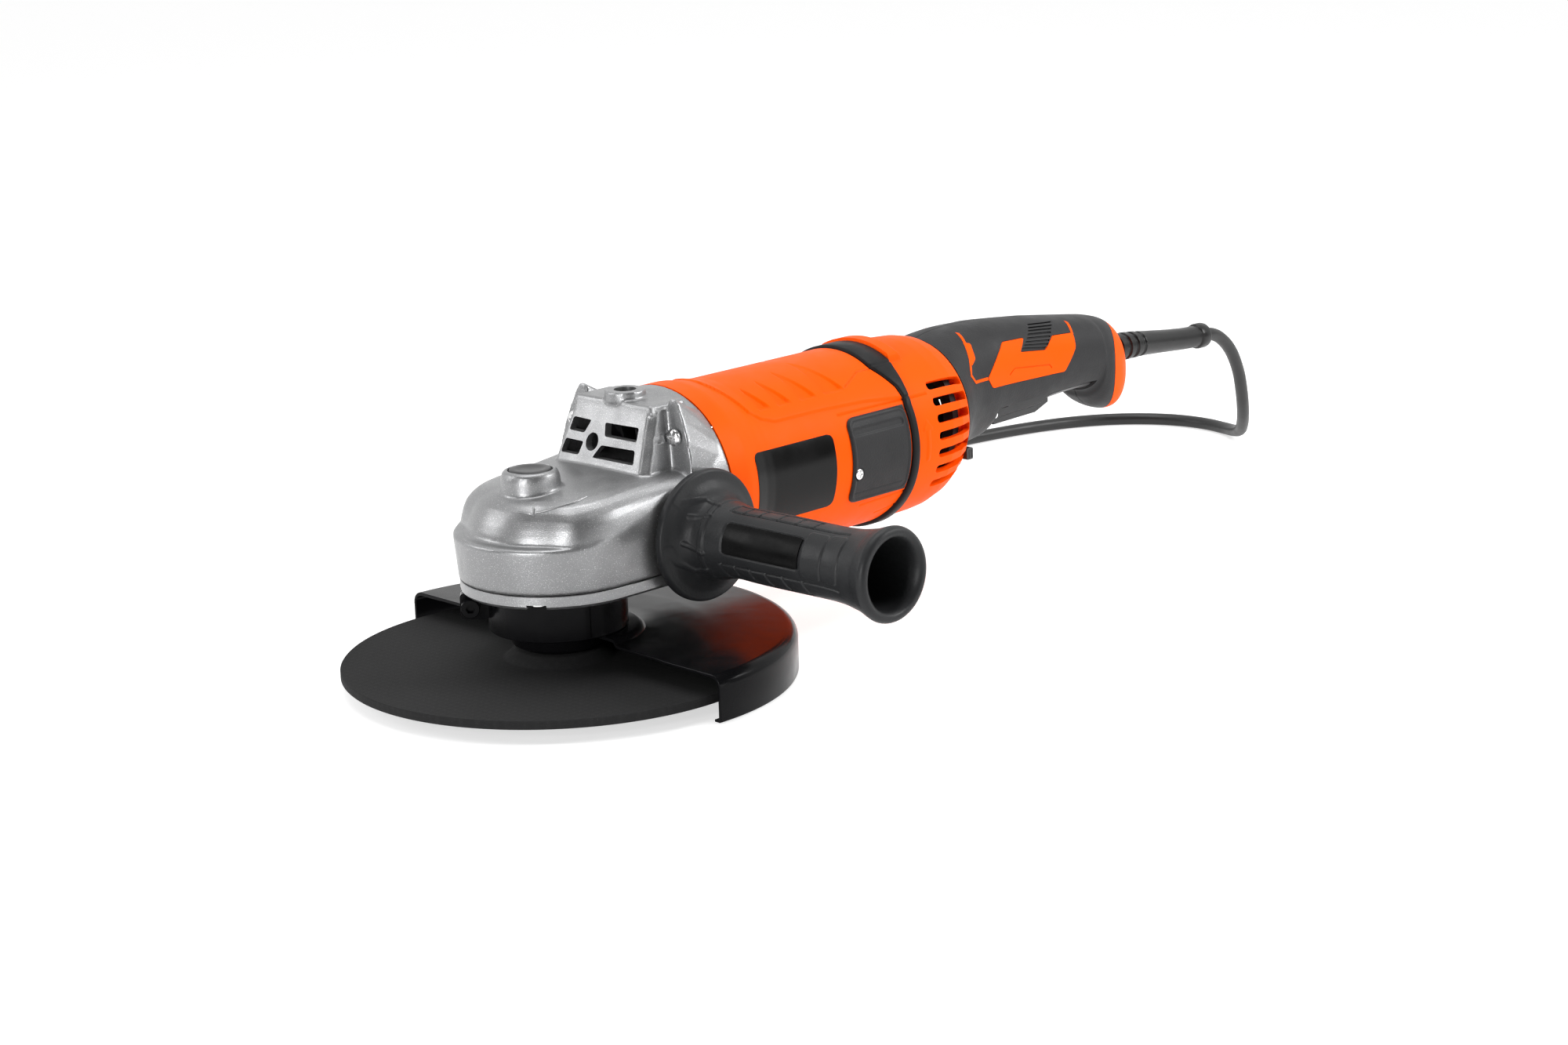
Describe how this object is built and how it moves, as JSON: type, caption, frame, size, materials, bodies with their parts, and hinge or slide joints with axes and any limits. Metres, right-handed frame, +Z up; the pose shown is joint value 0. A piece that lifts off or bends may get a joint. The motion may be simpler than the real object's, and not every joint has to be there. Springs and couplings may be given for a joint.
{
  "type": "angle grinder",
  "caption": "Two-handed electric angle grinder with a guarded abrasive wheel, bevel gear head, side handle, swivelling rear handle with paddle switch, and mains lead.",
  "frame": {"origin": "centre of the spindle's end face", "axes": "+Z up the spindle from the wheel into the gear head, +X back along the motor to the rear handle, side handle towards -Y"},
  "size_m": [0.7806, 0.3821, 0.1448],
  "materials": {
    "cast_aluminium": "bead-blasted casting with silver paint",
    "steel": "machined",
    "brass": "brass, machined",
    "copper": "copper, varnished",
    "orange_plastic": "fine satin grain",
    "dark_plastic": "fine matt grain",
    "black_plastic": "semi-gloss",
    "rubber": "soft matt",
    "cord": "smooth sheath",
    "black_steel": "gloss black enamel",
    "abrasive": "bonded grit",
    "carbon": "pressed carbon"
  },
  "bodies": {
    "housing": {"gear_case": "cast_aluminium", "bearing_plate": "cast_aluminium", "plate_screw_1": "steel", "plate_screw_2": "steel", "plate_screw_3": "steel", "plate_screw_4": "steel", "gear_case_screw_1": "steel", "gear_case_screw_2": "steel", "gear_case_screw_3": "steel", "gear_case_screw_4": "steel", "spindle_bearing": "steel", "spindle_bush": "brass", "front_bearing": "steel", "rear_bearing": "steel", "lock_spring": "steel", "motor_housing": "orange_plastic", "stator_core": "steel", "field_coil_upper": "copper", "field_coil_lower": "copper", "brush_holder_left": "brass", "brush_holder_right": "brass", "brush_cover_left": "dark_plastic", "brush_cover_right": "dark_plastic", "brush_cover_screw_left": "steel", "brush_cover_screw_right": "steel", "bumper_band": "rubber", "end_cap": "orange_plastic", "side_handle_grip": "rubber", "side_handle_stud": "steel", "cord_tube": "cord", "cord_coil": "cord", "mains_plug": "black_plastic"},
    "guard": {"guard_shell": "black_steel", "guard_collar": "black_steel", "clamp_screw": "black_steel"},
    "spindle": {"spindle": "steel", "ring_gear": "steel", "inner_flange": "black_steel", "grinding_wheel": "abrasive", "locknut": "black_steel"},
    "armature": {"armature_shaft": "steel", "armature_core": "steel", "armature_coil_front": "copper", "armature_coil_rear": "copper", "commutator": "copper", "pinion_gear": "steel", "cooling_fan": "dark_plastic"},
    "lock_button": {"lock_button": "black_plastic"},
    "brush_left": {"carbon_brush_left": "carbon"},
    "brush_right": {"carbon_brush_right": "carbon"},
    "rear_handle": {"handle_left": "dark_plastic", "handle_right": "dark_plastic", "rear_cap": "orange_plastic", "switch": "black_plastic", "cord_clamp": "black_plastic", "lever_pin": "steel", "lever_spring": "steel", "cord_boot": "rubber"},
    "trigger": {"trigger_lever": "black_plastic"},
    "swivel_button": {"swivel_button": "black_plastic"}
  },
  "joints": [
    {"name": "spindle_spin", "type": "hinge", "parent": "housing", "child": "spindle", "pos_m": [0, 0, 0], "axis": [0, 0, 1], "continuous": true},
    {"name": "armature_spin", "type": "hinge", "parent": "housing", "child": "armature", "pos_m": [0, 0, 0.0866], "axis": [1, 0, 0], "continuous": true},
    {"name": "guard_turn", "type": "hinge", "parent": "housing", "child": "guard", "pos_m": [0, 0, 0], "axis": [0, 0, 1], "range_deg": [-90, 90]},
    {"name": "spindle_lock", "type": "slide", "parent": "housing", "child": "lock_button", "axis": [0, 0, -1], "range_m": [0, 0.004], "stiffness_N_per_m": 800, "springref_m": -0.003, "deforming": ["lock_spring"]},
    {"name": "brush_feed_left", "type": "slide", "parent": "housing", "child": "brush_left", "axis": [0, -1, 0], "range_m": [0, 0.005], "stiffness_N_per_m": 300, "springref_m": -0.006},
    {"name": "brush_feed_right", "type": "slide", "parent": "housing", "child": "brush_right", "axis": [0, 1, 0], "range_m": [0, 0.005], "stiffness_N_per_m": 300, "springref_m": -0.006},
    {"name": "handle_swivel", "type": "hinge", "parent": "housing", "child": "rear_handle", "pos_m": [0.2812, 0, 0.0904], "axis": [1, 0, 0], "range_deg": [-90, 90]},
    {"name": "trigger_press", "type": "hinge", "parent": "rear_handle", "child": "trigger", "pos_m": [0.334, 0, 0.08], "axis": [0, -1, 0], "range_deg": [0, 6], "stiffness_Nm_per_rad": 1.5, "springref_deg": -8.59, "deforming": ["lever_spring"]},
    {"name": "swivel_release", "type": "slide", "parent": "rear_handle", "child": "swivel_button", "axis": [1, 0, 0], "range_m": [0, 0.003], "stiffness_N_per_m": 600, "springref_m": -0.002}
  ],
  "couplings": [
    {"joint": "armature_spin", "follows": "spindle_spin", "ratio": 4.1}
  ]
}
